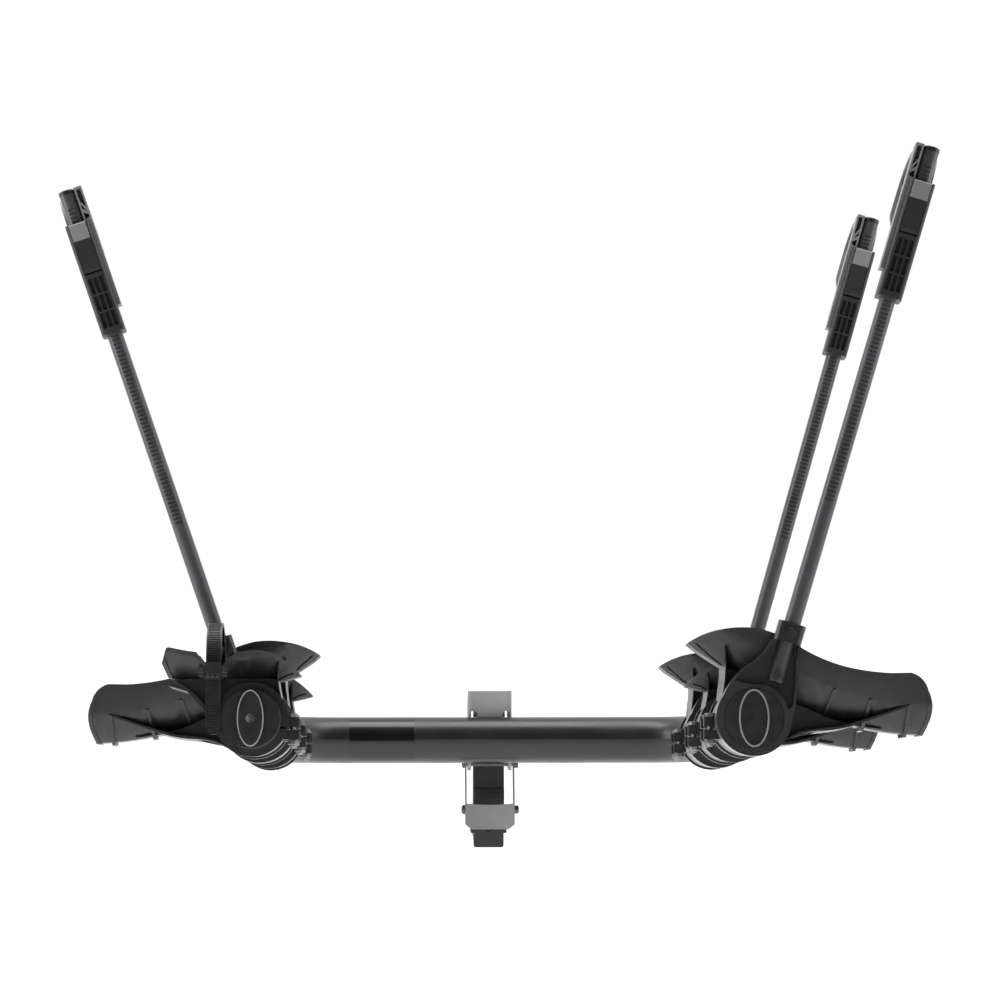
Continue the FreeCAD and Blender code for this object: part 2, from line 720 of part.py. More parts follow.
def hook_grip():
    """Sliding grip round the arm tube: open slots, lever bay and window."""
    low_x = arm_offset - grip_half
    high_x = arm_offset + grip_half
    body = box(low_x, high_x, grip_front, grip_back, grip_bottom, grip_top)
    upright = [edge for edge in body.Edges if abs(edge.tangentAt(0).z) > 0.9]
    body = body.makeFillet(7.0, upright)
    for column in range(3):
        x0 = arm_offset - 11.5 + column * 8.5
        for row in range(3):
            z0 = grip_bottom + 9 + row * 27.5
            body = body.cut(box(x0, x0 + 6, grip_front - 1, grip_front + 7, z0, z0 + 24))
    bay_low = lever_pivot - 54
    bay = box(arm_offset - 14, arm_offset + 14, grip_front - 1, 0, bay_low, grip_top + 1)
    window = box(arm_offset - 6, arm_offset + 6, -1, arm_depth, bay_low + 8, lever_pivot - 8)
    body = body.cut(bay).cut(window)
    bore = cylinder_z(arm_radius + slide_fit, grip_bottom - 1, grip_top + 1,
                      arm_offset, arm_depth)
    body = body.cut(bore)
    trunnion = cylinder_x(2.5 + running_fit, arm_offset - 17, arm_offset + 17,
                          grip_front + 4, lever_pivot)
    return body.cut(trunnion)


def release_lever():
    """Two-tone thumb lever on its trunnions, with the pawl behind it."""
    front = grip_front - 2
    plate = outline([(front + 1.5, lever_pivot - 51), (front, lever_pivot - 44),
                     (front, grip_top - 3), (front + 2, grip_top - 1),
                     (front + 6, grip_top - 1), (front + 6, lever_pivot - 46),
                     (front + 4, lever_pivot - 51)],
                    at_x(arm_offset - 13.2)).extrude(X * 26.4)
    hub = cylinder_x(4.0, arm_offset - 13.2, arm_offset + 13.2, grip_front + 4, lever_pivot)
    pin = cylinder_x(2.5, arm_offset - 16.5, arm_offset + 16.5, grip_front + 4, lever_pivot)
    pawl = outline([(front + 5, lever_pivot - 40), (1.6, lever_pivot - 35),
                    (1.6, lever_pivot - 32), (front + 5, lever_pivot - 26)],
                   at_x(arm_offset - 5)).extrude(X * 10)
    return join([plate, hub, pin, pawl])


def hook_frame():
    """Hook: lattice spine beside the arm tube and an arch over the tyre."""
    spine_in = arm_offset - arm_radius - slide_fit
    spine_low = grip_top + 0.3
    spine = box(spine_in - 12, spine_in, 2, grip_back, spine_low, hook_top - 2)
    rail = box(spine_in - 12, arm_offset - grip_half - 0.3, 2, grip_back - 4,
               grip_bottom + 40, spine_low + 4)
    for cut in ([(spine_in - 9.5, spine_low + 3), (spine_in - 2.5, spine_low + 3),
                 (spine_in - 2.5, spine_low + 14), (spine_in - 9.5, spine_low + 9)],
                [(spine_in - 9, spine_low + 14), (spine_in - 2.5, spine_low + 20),
                 (spine_in - 2.5, spine_low + 28)],
                [(spine_in - 9.5, spine_low + 20), (spine_in - 3, spine_low + 32),
                 (spine_in - 3, hook_top - 6), (spine_in - 9.5, hook_top - 6)]):
        spine = spine.cut(outline(cut, at_y(1)).extrude(Y * 22))
    middle = (grip_back + hook_reach) / 2 + 2
    outer_r = hook_reach - middle + 8
    rise = hook_top - outer_r
    wide_low = arm_offset - hook_inner
    wide = hook_width
    ring = cylinder_x(outer_r, wide_low, wide_low + wide, middle, rise)
    ring = ring.cut(cylinder_x(outer_r - 9, wide_low - 1, wide_low + wide + 1, middle, rise))
    ring = ring.common(box(wide_low, wide_low + wide, grip_back - 2.5, 200, rise, hook_top + 1))
    leg = outline([(middle + outer_r, rise + 1), (middle + outer_r - 9, rise + 1),
                   (middle + outer_r - 7, rise - 50), (middle + outer_r, rise - 58),
                   (middle + outer_r + 3, rise - 50)], at_x(wide_low)).extrude(X * wide)
    near = outline([(middle - outer_r + 8, rise + 2), (grip_back - 2.5, rise + 2),
                    (grip_back - 2.5, grip_top + 2), (grip_back + 2, grip_top - 18),
                    (middle - outer_r + 8, rise - 22)], at_x(wide_low + 4)).extrude(X * (wide - 8))
    leaf = outline([(wide_low, hook_top + 5), (wide_low, rise - 30),
                    [(wide_low + 8, rise - 50), (wide_low + wide / 2, rise - 60),
                     (wide_low + wide - 8, rise - 50), (wide_low + wide, rise - 30)],
                    (wide_low + wide, hook_top + 5)], at_y(middle)).extrude(Y * 100)
    far_leg = leg.common(leaf)
    body = join([spine, rail, ring, far_leg, near])
    grip_way = box(arm_offset - grip_half - 0.2, arm_offset + grip_half + 0.2,
                   grip_front - 5, grip_back + 0.2, grip_bottom - 1, grip_top + 0.2)
    tube_way = cylinder_z(arm_radius + slide_fit, 500, 900, arm_offset, arm_depth)
    return body.cut(grip_way).cut(tube_way)


def hook_pad():
    """Soft liner under the arch where it meets the tyre."""
    middle = (grip_back + hook_reach) / 2 + 2
    outer_r = hook_reach - middle + 8
    rise = hook_top - outer_r
    x0 = arm_offset - hook_inner + 3
    x1 = x0 + hook_width - 6
    ring = cylinder_x(outer_r - 9.1, x0, x1, middle, rise)
    ring = ring.cut(cylinder_x(outer_r - 13, x0 - 1, x1 + 1, middle, rise))
    return ring.common(box(x0, x1, middle - 36, middle + 40, rise + 12, hook_top))


# ---------------------------------------------------------------- strap and buckle
# Drawn on the left leg's mirror image, like the trays: x outwards, y along the leg.
def wheel_strap():
    """Toothed strap from the far wall over the tyre, through the buckle to its tail."""
    x0 = strap_place - strap_width / 2
    near = 24.5
    far = 2 * channel_centre - near - 4
    middle = (near + far) / 2
    radius = (far - near) / 2
    level = strap_top - radius
    arch = cylinder_x(radius, x0, x0 + strap_width, middle, level)
    arch = arch.cut(cylinder_x(radius - strap_sheet, x0 - 1, x0 + strap_width + 1, middle, level))
    arch = arch.common(box(x0, x0 + strap_width, near - 1, far + 1, level, strap_top + 1))
    tail = box(x0, x0 + strap_width, near, near + strap_sheet, -22, level)
    foot = box(x0, x0 + strap_width, far - strap_sheet, far, 52, level)
    return join([arch, tail, foot])


def buckle_base():
    """Buckle frame on the near wall and the strap's anchor on the far wall."""
    x0 = strap_place - strap_width / 2
    x1 = x0 + strap_width
    near = 24.5
    back = near + strap_sheet + seat_gap
    wall = swept_channel(strap_tray_half, strap_tray_lift, [strap_tray_arc],
                         lip_proud + seat_gap)
    plate = box(x0 - 3.2, x1 + 3.2, back, back + 6, buckle_low, buckle_high - 14)
    block = box(x0 + 2, x1 - 2, back + 5, channel_centre - 30, buckle_low, buckle_high - 14)
    cheeks = [box(x0 - 3.2, x0 - 0.6, near - 8, back + 1, buckle_low, buckle_high - 7.5),
              box(x1 + 0.6, x1 + 3.2, near - 8, back + 1, buckle_low, buckle_high - 7.5)]
    pin_way = cylinder_x(1.5 + running_fit, x0 - 8, x1 + 8, near - 4.5, buckle_high - 11)
    frame = join([plate, block.cut(wall)] + cheeks).cut(pin_way)
    far = 2 * channel_centre - near - 4 - strap_sheet - seat_gap
    anchor = box(x0 + 2, x1 - 2, channel_centre + 30, far, buckle_low, buckle_high - 14)
    return Part.makeCompound([frame, anchor.cut(wall)])


def buckle_lever():
    """Cover lever with its two finger ears."""
    x0 = strap_place - strap_width / 2
    x1 = x0 + strap_width
    front = 24.5 - 12.5
    plate = box(x0 - 0.2, x1 + 0.2, front, front + 3, buckle_low - 1, buckle_high - 3)
    hub = cylinder_x(3.2, x0 - 0.2, x1 + 0.2, 20.0, buckle_high - 11)
    neck = box(x0 - 0.2, x1 + 0.2, front + 1, 20.0, buckle_high - 13, buckle_high - 9)
    ears = []
    for x in (x0 - 9, x1 + 3.6):
        ears.append(box(x, x + 5.4, front + 0.5, front + 9, buckle_low + 2, buckle_high - 5))
        bridge = min(x, x1 - 1)
        ears.append(box(bridge, bridge + 11, front, front + 2.6, buckle_low + 3, buckle_high - 8))
    body = join([plate, hub, neck] + ears)
    return body.cut(cylinder_x(1.5 + running_fit, x0 - 8, x1 + 8, 20.0, buckle_high - 11))


def buckle_pin():
    """Hinge pin of the buckle's lever."""
    x0 = strap_place - strap_width / 2
    return cylinder_x(1.5, x0 - 3.2, x0 + strap_width + 3.2, 20.0, buckle_high - 11)


# ---------------------------------------------------------------- write every node
bikes = [("outer", 0, 1), ("middle", 1, -1), ("inner", 2, 1)]

save(stinger_tube(), "stinger_tube")
save(pivot_head(), "pivot_head")
save(head_bumper(), "head_bumper")
save(stinger_plug(), "stinger_plug")
save(pivot_bolt(), "pivot_bolt")
save(frame_tube(), "frame_tube")
save(frame_saddle(), "frame_saddle")
save(latch_pin(), "latch_pin")
save(foot_pedal(), "foot_pedal")
save(pedal_bolt(), "pedal_bolt")
save(pedal_crossbar(), "pedal_crossbar")
save(on_leg(end_cap(), 1, 0), "end_cap")
save(on_leg(lock_socket(), -1, 0), "lock_socket")
save(on_leg(lock_knob(), -1, 0), "lock_knob")
save(on_leg(lock_core(), -1, 0), "lock_core")

long_tray = arm_tray()
short_tray = strap_tray()
bolts = clamp_bolts()
ring = snap_ring()
bracket = arm_bracket()
groove = cylinder_y(sleeve_radius + 1, 11.7, 14.3).cut(cylinder_y(sleeve_radius - 1.5, 11, 15))
long_tray = long_tray.cut(groove)
arm_pieces = {"arm_bracket": bracket, "arm_tube": arm_tube(), "arm_bolts": arm_bolts(),
              "arm_end_plug": arm_end_plug(), "hook_grip": hook_grip(),
              "hook_frame": hook_frame(), "hook_pad": hook_pad(),
              "release_lever": release_lever()}
strap_pieces = {"wheel_strap": wheel_strap(), "buckle_base": buckle_base(),
                "buckle_lever": buckle_lever(), "buckle_pin": buckle_pin()}
all_bolts = []
all_rings = []
for name, place, side in bikes:
    save(on_leg(long_tray, side, place), "arm_tray_" + name)
    save(on_leg(short_tray, -side, place), "strap_tray_" + name)
    all_bolts += on_leg(bolts, side, place).Solids
    all_bolts += on_leg(bolts, -side, place).Solids
    all_rings += on_leg(ring, side, place).Solids
    for node, shape in arm_pieces.items():
        save(on_leg(lean(shape, name), side, place), node + "_" + name)
    for node, shape in strap_pieces.items():
        save(on_leg(shape, -side, place), node + "_" + name)
save(Part.makeCompound(all_bolts), "clamp_bolts")
save(Part.makeCompound(all_rings), "snap_rings")
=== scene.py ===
"""Looks of a three-bike hitch rack: finishes, rounded mouldings, straps, trim and stage.

Every size is in metres, in the rack's own frame: X to the right, Y towards the vehicle,
Z up, with the origin at the hitch pin.
"""
import json
import math

import bmesh
import bpy
from mathutils import Matrix, Vector


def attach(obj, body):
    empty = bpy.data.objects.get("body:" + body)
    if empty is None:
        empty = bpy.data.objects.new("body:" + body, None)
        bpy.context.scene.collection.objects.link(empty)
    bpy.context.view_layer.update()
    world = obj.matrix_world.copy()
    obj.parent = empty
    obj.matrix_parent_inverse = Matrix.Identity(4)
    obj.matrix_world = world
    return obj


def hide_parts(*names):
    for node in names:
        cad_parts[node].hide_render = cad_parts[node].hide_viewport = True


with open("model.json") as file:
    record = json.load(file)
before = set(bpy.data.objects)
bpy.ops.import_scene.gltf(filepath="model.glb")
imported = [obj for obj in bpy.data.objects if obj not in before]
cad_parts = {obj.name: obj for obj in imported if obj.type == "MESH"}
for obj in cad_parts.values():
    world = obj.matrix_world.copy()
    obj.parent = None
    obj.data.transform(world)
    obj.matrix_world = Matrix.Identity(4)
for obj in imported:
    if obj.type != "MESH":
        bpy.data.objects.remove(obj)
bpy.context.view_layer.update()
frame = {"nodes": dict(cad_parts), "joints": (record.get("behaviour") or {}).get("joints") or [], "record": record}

bl_info = {
    "name": "Hitch Rack Finishes",
    "version": (1, 0, 0),
    "blender": (4, 5, 0),
    "location": "View3D > Sidebar > Hitch Rack",
    "description": "Finishes, straps, trim and stage of a three-bike hitch rack",
    "category": "Object",
}

BIKES = ("outer", "middle", "inner")
joints = {joint["name"]: joint for joint in frame["joints"]}


# ---------------------------------------------------------------- places on the rack
def leg_frame(bike, side):
    """Matrix from a leg's own axes at a bike's hub (out, along the leg, up) to the rack."""
    joint = joints["arm_fold_" + bike]
    hub = Vector(joint["pos_m"])
    along = Vector(joint["axis"]).normalized()
    out = Vector((side, 0, 0))
    up = Vector((1, 0, 0)).cross(along)
    matrix = Matrix((out, along, up)).transposed().to_4x4()
    matrix.translation = Vector((side * abs(hub.x), hub.y, hub.z))
    return matrix


def arm_side(bike):
    return 1 if joints["arm_fold_" + bike]["pos_m"][0] > 0 else -1


# ---------------------------------------------------------------- materials
def new_material(name, colour, roughness, metallic=0.0):
    """Material with its shader and the object's own coordinates, ready for a pattern."""
    material = bpy.data.materials.new(name)
    material.use_nodes = True
    tree = material.node_tree
    shader = tree.nodes["Principled BSDF"]
    shader.inputs["Base Color"].default_value = (*colour, 1)
    shader.inputs["Roughness"].default_value = roughness
    shader.inputs["Metallic"].default_value = metallic
    coordinates = tree.nodes.new("ShaderNodeTexCoord")
    return material, tree, shader, coordinates.outputs["Object"]


def noise(tree, place, scale, detail=3.0):
    node = tree.nodes.new("ShaderNodeTexNoise")
    node.inputs["Scale"].default_value = scale
    node.inputs["Detail"].default_value = detail
    tree.links.new(place, node.inputs["Vector"])
    return node.outputs["Fac"]


def spread(tree, value, low, high, start=0.35, end=0.65):
    """Carry a pattern's value into a range of numbers."""
    node = tree.nodes.new("ShaderNodeMapRange")
    node.inputs["From Min"].default_value = start
    node.inputs["From Max"].default_value = end
    node.inputs["To Min"].default_value = low
    node.inputs["To Max"].default_value = high
    tree.links.new(value, node.inputs["Value"])
    return node.outputs["Result"]


def two_colours(tree, value, first, second, start=0.3, end=0.7):
    node = tree.nodes.new("ShaderNodeValToRGB")
    node.color_ramp.elements[0].position = start
    node.color_ramp.elements[0].color = (*first, 1)
    node.color_ramp.elements[1].position = end
    node.color_ramp.elements[1].color = (*second, 1)
    tree.links.new(value, node.inputs["Fac"])
    return node.outputs["Color"]


def relief(tree, shader, value, strength, distance):
    node = tree.nodes.new("ShaderNodeBump")
    node.inputs["Strength"].default_value = strength
    node.inputs["Distance"].default_value = distance
    tree.links.new(value, node.inputs["Height"])
    tree.links.new(node.outputs["Normal"], shader.inputs["Normal"])


def shade_of(colour, factor):
    return tuple(min(1.0, value * factor) for value in colour)


def powder_coat(name, colour, roughness):
    """Baked powder paint: orange-peel relief and a faint cloudiness in its gloss."""
    material, tree, shader, place = new_material(name, colour, roughness)
    cloud = noise(tree, place, 14.0, 4.0)
    peel = noise(tree, place, 900.0, 2.0)
    tree.links.new(two_colours(tree, cloud, shade_of(colour, 0.85), shade_of(colour, 1.2)),
                   shader.inputs["Base Color"])
    tree.links.new(spread(tree, cloud, roughness - 0.05, roughness + 0.06),
                   shader.inputs["Roughness"])
    relief(tree, shader, peel, 0.18, 0.0004)
    return material


def moulded_plastic(name, colour, roughness, grain=1500.0):
    """Moulded nylon: fine spark-eroded grain, flow clouds and dull handling patches."""
    material, tree, shader, place = new_material(name, colour, roughness)
    flow = noise(tree, place, 22.0, 5.0)
    handling = noise(tree, place, 70.0, 3.0)
    stipple = noise(tree, place, grain, 2.0)
    tree.links.new(two_colours(tree, flow, shade_of(colour, 0.82), shade_of(colour, 1.22)),
                   shader.inputs["Base Color"])
    tree.links.new(spread(tree, handling, roughness - 0.06, roughness + 0.08),
                   shader.inputs["Roughness"])
    relief(tree, shader, stipple, 0.22, 0.0003)
    return material


def soft_rubber(name, colour):
    material, tree, shader, place = new_material(name, colour, 0.72)
    bloom = noise(tree, place, 60.0, 4.0)
    skin = noise(tree, place, 1100.0, 3.0)
    tree.links.new(two_colours(tree, bloom, shade_of(colour, 0.8), shade_of(colour, 1.4)),
                   shader.inputs["Base Color"])
    relief(tree, shader, skin, 0.25, 0.0003)
    return material


def plated_steel(name, colour, roughness):
    """Zinc or chrome plating with fine turning marks and a cloudy film."""
    material, tree, shader, place = new_material(name, colour, roughness, 1.0)
    film = noise(tree, place, 120.0, 4.0)
    marks = noise(tree, place, 2600.0, 1.0)
    tree.links.new(two_colours(tree, film, shade_of(colour, 0.8), shade_of(colour, 1.1)),
                   shader.inputs["Base Color"])
    tree.links.new(spread(tree, film, roughness - 0.07, roughness + 0.1),
                   shader.inputs["Roughness"])
    relief(tree, shader, marks, 0.1, 0.0001)
    return material


def two_tone_lever(name, dark, light, pivot, along):
    """Lever mould: dark lower blade, light thumb pad above the line through pivot."""
    material, tree, shader, place = new_material(name, light, 0.5)
    offset = tree.nodes.new("ShaderNodeVectorMath")
    offset.operation = "SUBTRACT"
    offset.inputs[1].default_value = pivot
    tree.links.new(place, offset.inputs[0])
    reach = tree.nodes.new("ShaderNodeVectorMath")
    reach.operation = "DOT_PRODUCT"
    reach.inputs[1].default_value = along
    tree.links.new(offset.outputs[0], reach.inputs[0])
    side = spread(tree, reach.outputs["Value"], 0.0, 1.0, -0.0004, 0.0004)
    tree.links.new(two_colours(tree, side, dark, light, 0.45, 0.55), shader.inputs["Base Color"])
    relief(tree, shader, noise(tree, place, 1400.0, 2.0), 0.2, 0.0003)
    return material


def stage_floor_paint(name, colour):
    material, tree, shader, place = new_material(name, colour, 0.9)
    tree.links.new(two_colours(tree, noise(tree, place, 1.3), shade_of(colour, 0.985), colour),
                   shader.inputs["Base Color"])
    shader.inputs["Emission Color"].default_value = (1, 1, 1, 1)
    shader.inputs["Emission Strength"].default_value = 0.45
    return material


paints = {}


def mix_paints(sizes):
    """Make every finish once."""
    black = tuple(sizes.frame_black)
    plastic = tuple(sizes.tray_black)
    metal = tuple(sizes.saddle_grey)
    grey = tuple(sizes.hook_grey)
    paints["frame"] = powder_coat("frame_powder_coat", black, 0.32)
    paints["band"] = powder_coat("glossy_band", shade_of(black, 0.35), 0.16)
    # Painted light: the arm tubes wear the frame's black powder coat lifted 4.6 times, standing in for the light
    # that brightens them.
    paints["arm"] = powder_coat("arm_powder_coat_painted_light", shade_of(black, 4.6), 0.36)
    paints["cast"] = powder_coat("cast_bracket_paint", shade_of(black, 2.0), 0.27)
    paints["head"] = powder_coat("head_paint", shade_of(black, 1.5), 0.4)
    paints["stinger"] = powder_coat("stinger_paint", shade_of(black, 2.4), 0.45)
    paints["saddle"] = powder_coat("saddle_paint", metal, 0.42)
    paints["pedal"] = powder_coat("pedal_paint", shade_of(metal, 0.66), 0.4)
    paints["tray"] = moulded_plastic("tray_nylon", plastic, 0.36)
    paints["cap"] = moulded_plastic("cap_nylon", shade_of(plastic, 0.7), 0.38, 2200.0)
    paints["grip"] = moulded_plastic("grip_nylon", shade_of(plastic, 1.1), 0.5)
    paints["buckle"] = moulded_plastic("buckle_nylon", plastic, 0.36)
    # Painted highlight: the buckle levers' ribs take the buckles' black nylon lifted four times, standing in for
    # the light their ridges catch.
    paints["ribs"] = moulded_plastic("rib_nylon_painted_highlight", shade_of(plastic, 4.0), 0.3)
    paints["hook"] = moulded_plastic("hook_nylon", grey, 0.5)
    paints["rim"] = moulded_plastic("rim_satin", shade_of(grey, 1.25), 0.3)
    paints["strap"] = moulded_plastic("strap_elastomer", shade_of(plastic, 0.9), 0.4, 2400.0)
    paints["pad"] = soft_rubber("hook_liner", shade_of(plastic, 0.9))
    paints["bumper"] = soft_rubber("bumper_rubber", shade_of(plastic, 0.8))
    paints["zinc"] = plated_steel("zinc_plate", (0.36, 0.36, 0.355), 0.34)
    paints["black_bolt"] = plated_steel("black_oxide", (0.09, 0.09, 0.092), 0.36)
    paints["chrome"] = plated_steel("bright_chrome", (0.42, 0.42, 0.425), 0.2)
    for bike in BIKES:
        joint = joints["lever_press_" + bike]
        along = Vector(joints["hook_slide_" + bike]["axis"]).normalized()
        paints["lever_" + bike] = two_tone_lever("lever_nylon_" + bike, plastic,
                                                 shade_of(grey, 1.2), joint["pos_m"], along)


PAINT_OF = {
    "stinger_tube": "stinger", "pivot_head": "head", "head_bumper": "bumper",
    "stinger_plug": "grip", "pivot_bolt": "black_bolt", "frame_tube": "frame",
    "frame_saddle": "saddle", "end_cap": "cap", "lock_socket": "cap", "pedal_bolt": "black_bolt",
    "clamp_bolts": "zinc", "snap_rings": "cast", "foot_pedal": "pedal",
    "pedal_crossbar": "black_bolt",
    "latch_pin": "black_bolt", "lock_knob": "cap", "lock_core": "chrome",
    "arm_tray": "tray", "strap_tray": "tray", "wheel_strap": "strap", "buckle_base": "buckle",
    "buckle_pin": "zinc", "arm_bracket": "cast", "arm_tube": "arm", "arm_bolts": "black_bolt",
    "arm_end_plug": "cap", "hook_grip": "grip", "hook_frame": "hook", "hook_pad": "pad",
    "release_lever": "lever", "buckle_lever": "buckle",
}


def paint_for(node):
    """Finish of a CAD node; the three bikes share theirs except for the levers."""
    for bike in BIKES:
        if node.endswith("_" + bike):
            key = PAINT_OF[node[:-len(bike) - 1]]
            return paints["lever_" + bike] if key == "lever" else paints[key]
    return paints[PAINT_OF[node]]


def put_on(piece, material):
    piece.data.materials.clear()
    piece.data.materials.append(material)


# ---------------------------------------------------------------- modelling helpers
WELD = 2e-5
FLAT_DEGREES = 0.6
ROUND_ABOVE_DEGREES = 34
CUT_PAST = 0.05
CUT_CLEAR = 0.0002


def only(piece):
    """Make one object the whole selection."""
    bpy.ops.object.select_all(action="DESELECT")
    piece.select_set(True)
    bpy.context.view_layer.objects.active = piece


def settle(piece):
    """Take an object's place and turn into its mesh."""
    only(piece)
    bpy.ops.object.transform_apply(location=True, rotation=True, scale=True)


def apply_modifiers(piece):
    only(piece)
    for modifier in list(piece.modifiers):
        bpy.ops.object.modifier_apply(modifier=modifier.name)


def face_outwards(piece):
    """Weld doubled points and turn every face outwards."""
    only(piece)
    bpy.ops.object.mode_set(mode="EDIT")
    bpy.ops.mesh.select_all(action="SELECT")
    bpy.ops.mesh.remove_doubles(threshold=1e-6)
    bpy.ops.mesh.normals_make_consistent(inside=False)
    bpy.ops.object.mode_set(mode="OBJECT")


def smooth(piece, degrees=32.0):
    """Shade smooth, with edges sharper than the angle kept crisp."""
    only(piece)
    bpy.ops.object.shade_smooth_by_angle(angle=math.radians(degrees))


def body_of(node):
    for body, nodes in frame["record"]["behaviour"]["bodies"].items():
        if node in nodes:
            return body
    raise ValueError("no body for " + node)


def join_as(pieces, name):
    """Join meshes into one object."""
    bpy.ops.object.select_all(action="DESELECT")
    for piece in pieces:
        piece.select_set(True)
    bpy.context.view_layer.objects.active = pieces[0]
    bpy.ops.object.join()
    joined = bpy.context.view_layer.objects.active
    joined.name = name
    joined.data.name = name
    return joined


def rounded_box(low, high, width, segments=2):
    """Box between two corners with its edges rounded."""
    low, high = Vector(low), Vector(high)
    bpy.ops.object.select_all(action="DESELECT")
    bpy.ops.mesh.primitive_cube_add(size=1, location=(low + high) / 2)
    piece = bpy.context.active_object
    piece.scale = high - low
    settle(piece)
    bpy.ops.object.mode_set(mode="EDIT")
    bpy.ops.mesh.select_all(action="SELECT")
    bpy.ops.mesh.bevel(offset=width, segments=segments, affect="EDGES")
    bpy.ops.object.mode_set(mode="OBJECT")
    return piece


def place_in(piece, matrix):
    """Carry a mesh from a leg's axes to the rack's."""
    piece.data.transform(matrix)
    if matrix.determinant() < 0:
        face_outwards(piece)


def arm_frame(bike):
    """Matrix from an arm's own axes at its hub (out, along the leg, up the arm) to the rack."""
    joint = joints["arm_fold_" + bike]
    along = Vector(joint["axis"]).normalized()
    up = Vector(joints["hook_slide_" + bike]["axis"]).normalized()
    out = along.cross(up) * arm_side(bike)
    matrix = Matrix((out, along, up)).transposed().to_4x4()
    matrix.translation = Vector(joint["pos_m"])
    return matrix


def cut_away(piece, cutter):
    """Take the cutter's space out of a piece and remove the cutter."""
    cut = piece.modifiers.new("cut", "BOOLEAN")
    cut.operation = "DIFFERENCE"
    cut.solver = "EXACT"
    cut.object = cutter
    apply_modifiers(piece)
    bpy.data.objects.remove(cutter)


def round_collar(piece, bike):
    """Round the four upright corners of an arm bracket's collar."""
    sizes = bpy.context.scene.rack_sizes
    middle = sizes.arm_offset
    half = sizes.collar_half + CUT_CLEAR
    front, back = sizes.bracket_front - CUT_CLEAR, sizes.bracket_back + CUT_CLEAR
    cutter = rounded_box((middle - CUT_PAST, -0.03, sizes.collar_foot),
                         (middle + CUT_PAST, 0.06, 0.2), 0.0005, 1)
    core = rounded_box((middle - half, front, 0.05), (middle + half, back, 0.25),
                       sizes.collar_round, 6)
    cut_away(cutter, core)
    place_in(cutter, arm_frame(bike))
    cut_away(piece, cutter)


def softened(node, width, segments=2):
    """Copy of a CAD node with its loose triangles joined and its edges rounded."""
    source = frame["nodes"][node]
    piece = source.copy()
    piece.data = source.data.copy()
    piece.name = node + "_rounded"
    piece.parent = None
    for key in list(piece.keys()):
        del piece[key]
    bpy.context.collection.objects.link(piece)
    only(piece)
    bpy.ops.object.mode_set(mode="EDIT")
    bpy.ops.mesh.select_all(action="SELECT")
    bpy.ops.mesh.remove_doubles(threshold=WELD)
    bpy.ops.mesh.dissolve_limited(angle_limit=math.radians(FLAT_DEGREES))
    bpy.ops.object.mode_set(mode="OBJECT")
    if node.startswith("arm_bracket_"):
        round_collar(piece, node[len("arm_bracket_"):])
    bevel = piece.modifiers.new("edges", "BEVEL")
    bevel.width = width
    bevel.segments = segments
    bevel.limit_method = "ANGLE"
    bevel.angle_limit = math.radians(ROUND_ABOVE_DEGREES)
    apply_modifiers(piece)
    smooth(piece)
    even = piece.modifiers.new("normals", "WEIGHTED_NORMAL")
    even.keep_sharp = True
    apply_modifiers(piece)
    put_on(piece, paint_for(node))
    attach(piece, body_of(node))
    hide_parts(node)
    return piece


def add_piece(piece, name, material, body):
    """Name a visible piece, finish it and let it ride on its body."""
    piece.name = name
    piece.data.name = name
    put_on(piece, material)
    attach(piece, body)
    return piece


# ---------------------------------------------------------------- straps
def strap_route(sizes, distance):
    """Point and outward direction on the strap's middle, measured up from its tail end."""
    near = sizes.strap_near + sizes.strap_sheet / 2
    far = sizes.strap_far - sizes.strap_sheet / 2
    radius = (far - near) / 2
    level = sizes.strap_top - sizes.strap_sheet / 2 - radius
    rise = level - sizes.strap_tail
    if distance < rise:
        return Vector((0, near, sizes.strap_tail + distance)), Vector((0, -1, 0))
    turn = (distance - rise) / radius
    if turn < math.pi:
        away = Vector((0, -math.cos(turn), math.sin(turn)))
        return Vector((0, (near + far) / 2, level)) + away * radius, away
    drop = distance - rise - math.pi * radius
    return Vector((0, far, level - drop)), Vector((0, 1, 0))


def strap_length(sizes):
    """Length of the strap's middle line from tail to anchor."""
    near = sizes.strap_near + sizes.strap_sheet / 2
    far = sizes.strap_far - sizes.strap_sheet / 2
    radius = (far - near) / 2
    level = sizes.strap_top - sizes.strap_sheet / 2 - radius
    return (level - sizes.strap_tail) + math.pi * radius + (level - sizes.strap_foot)


